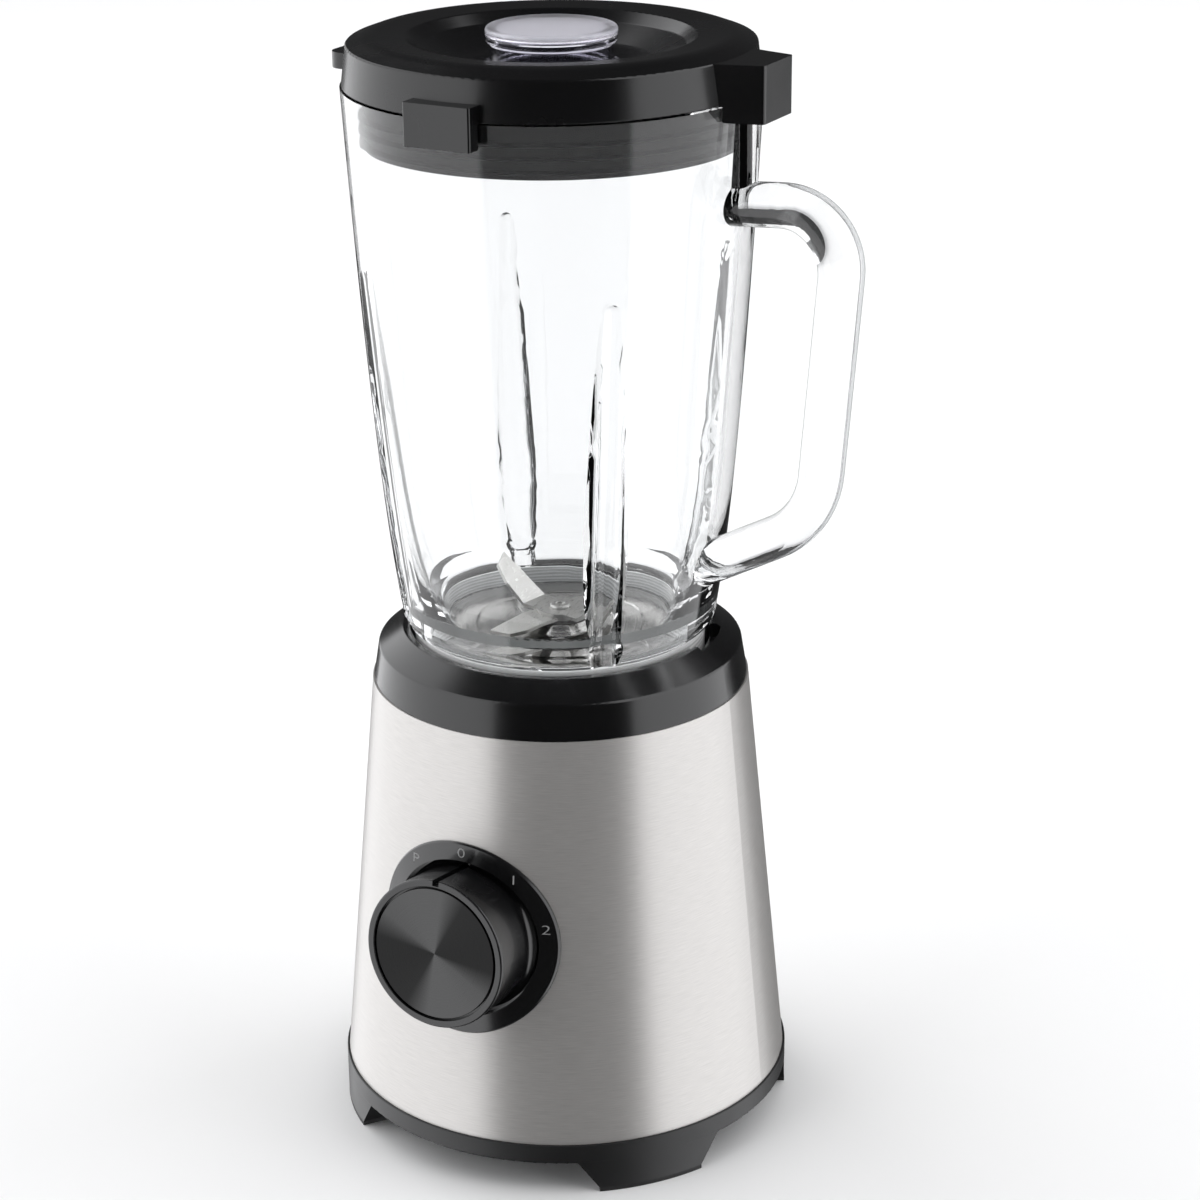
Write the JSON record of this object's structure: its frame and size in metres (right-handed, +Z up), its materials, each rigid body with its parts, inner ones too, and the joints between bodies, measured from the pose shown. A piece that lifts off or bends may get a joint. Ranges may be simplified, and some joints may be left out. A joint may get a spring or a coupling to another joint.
{
  "type": "countertop blender",
  "caption": "Countertop blender: conical steel motor base with a rotary dial, glass jug with handle, spout and blade unit, black lid and clear measuring cap.",
  "frame": {"origin": "middle of the footprint box, on the surface that the feet stand on", "axes": "+Z up, the dial faces -Y, the jug handle points to +X and the spout to -X; the drive axis is at x -16.5 mm, y 6.1 mm"},
  "size_m": [0.2022, 0.183, 0.41],
  "materials": {
    "shell_steel": "brushed stainless steel, grain running round the shell",
    "black_gloss": "semi-gloss black moulding",
    "lid_plastic": "semi-gloss black moulding with a fine satin texture on top",
    "dial_gloss": "gloss black escutcheon with pale printed marks",
    "dial_print": "pale pad-printed marks on the dial and the knob",
    "knob_plastic": "satin black moulding",
    "spun_disc": "dark anodised disc turned in fine circles",
    "black_satin": "fine textured black moulding",
    "holder_grey": "pale grey satin moulding with turned lines",
    "frame_plastic": "plain dark moulding",
    "black_rubber": "matt rubber",
    "zinc_steel": "bright turned or zinc plated steel",
    "lamination": "varnished laminated iron",
    "copper": "enamelled copper",
    "cast_aluminium": "as cast",
    "brass": "plain brass or bronze",
    "carbon": "pressed carbon",
    "coupling_nylon": "black nylon",
    "jug_glass": "clear pressed glass",
    "seal_silicone": "grey silicone",
    "gasket_rubber": "dark silicone sleeve",
    "base_disc_steel": "satin pressed steel",
    "blade_steel": "ground stainless steel",
    "cap_clear": "clear plastic with a frosted top"
  },
  "bodies": {
    "base": {"steel_shell": "shell_steel", "top_collar": "black_gloss", "inner_frame": "frame_plastic", "bottom_cover": "black_satin", "rubber_feet": "black_rubber", "bottom_screws": "zinc_steel", "seat_screws": "zinc_steel", "cord_gland": "black_rubber", "dial_plate": "dial_gloss", "switch_body": "frame_plastic", "switch_screws": "zinc_steel", "field_stack": "lamination", "field_coils": "copper", "upper_bracket": "cast_aluminium", "lower_bracket": "cast_aluminium", "upper_bearing": "zinc_steel", "lower_bearing": "zinc_steel", "through_bolts": "zinc_steel", "dampers": "black_rubber", "motor_screws": "zinc_steel", "brush_holders": "brass", "carbon_brushes": "carbon", "brush_springs": "zinc_steel", "shaft_seal": "black_rubber", "interlock_spring": "zinc_steel", "interlock_switch": "frame_plastic"},
    "rotor": {"motor_shaft": "zinc_steel", "rotor_core": "lamination", "armature_windings": "copper", "commutator": "copper", "cooling_fan": "frame_plastic", "drive_coupling": "coupling_nylon"},
    "knob": {"knob_body": "knob_plastic", "knob_disc": "spun_disc", "switch_shaft": "zinc_steel"},
    "interlock": {"interlock_pin": "frame_plastic"},
    "jug": {"glass_jug": "jug_glass", "jug_gasket": "seal_silicone", "blade_holder": "holder_grey", "blade_base": "base_disc_steel", "spindle_bushes": "brass", "spindle_seal": "seal_silicone"},
    "blades": {"blade_spindle": "zinc_steel", "lower_blade": "blade_steel", "upper_blade": "blade_steel", "blade_rivet": "blade_steel", "driven_coupling": "coupling_nylon", "spindle_clip": "zinc_steel"},
    "lid_unit": {"lid": "lid_plastic", "lid_gasket": "gasket_rubber"},
    "cap": {"measuring_cap": "cap_clear"}
  },
  "joints": [
    {"name": "motor_spin", "type": "hinge", "parent": "base", "child": "rotor", "pos_m": [-0.0165, 0.0061, 0.1], "axis": [0, 0, 1], "continuous": true},
    {"name": "knob_turn", "type": "hinge", "parent": "base", "child": "knob", "pos_m": [-0.0165, -0.07041, 0.0959], "axis": [0, 0.9956, -0.0938], "range_deg": [-38, 76]},
    {"name": "jug_lift", "type": "slide", "parent": "base", "child": "jug", "axis": [0, 0, 1], "range_m": [0, 0.08]},
    {"name": "interlock_press", "type": "slide", "parent": "base", "child": "interlock", "axis": [0, 0, 1], "range_m": [0, 0.003], "stiffness_N_per_m": 200, "springref_m": 0.006, "deforming": ["interlock_spring"]},
    {"name": "blade_spin", "type": "hinge", "parent": "jug", "child": "blades", "pos_m": [-0.0165, 0.0061, 0.19], "axis": [0, 0, 1], "continuous": true},
    {"name": "lid_lift", "type": "slide", "parent": "jug", "child": "lid_unit", "axis": [0, 0, 1], "range_m": [0, 0.06]},
    {"name": "cap_lift", "type": "slide", "parent": "lid_unit", "child": "cap", "axis": [0, 0, 1], "range_m": [0, 0.05]}
  ],
  "couplings": [
    {"joint": "blade_spin", "follows": "motor_spin", "ratio": 1},
    {"joint": "interlock_press", "follows": "jug_lift", "ratio": 0.0375}
  ]
}
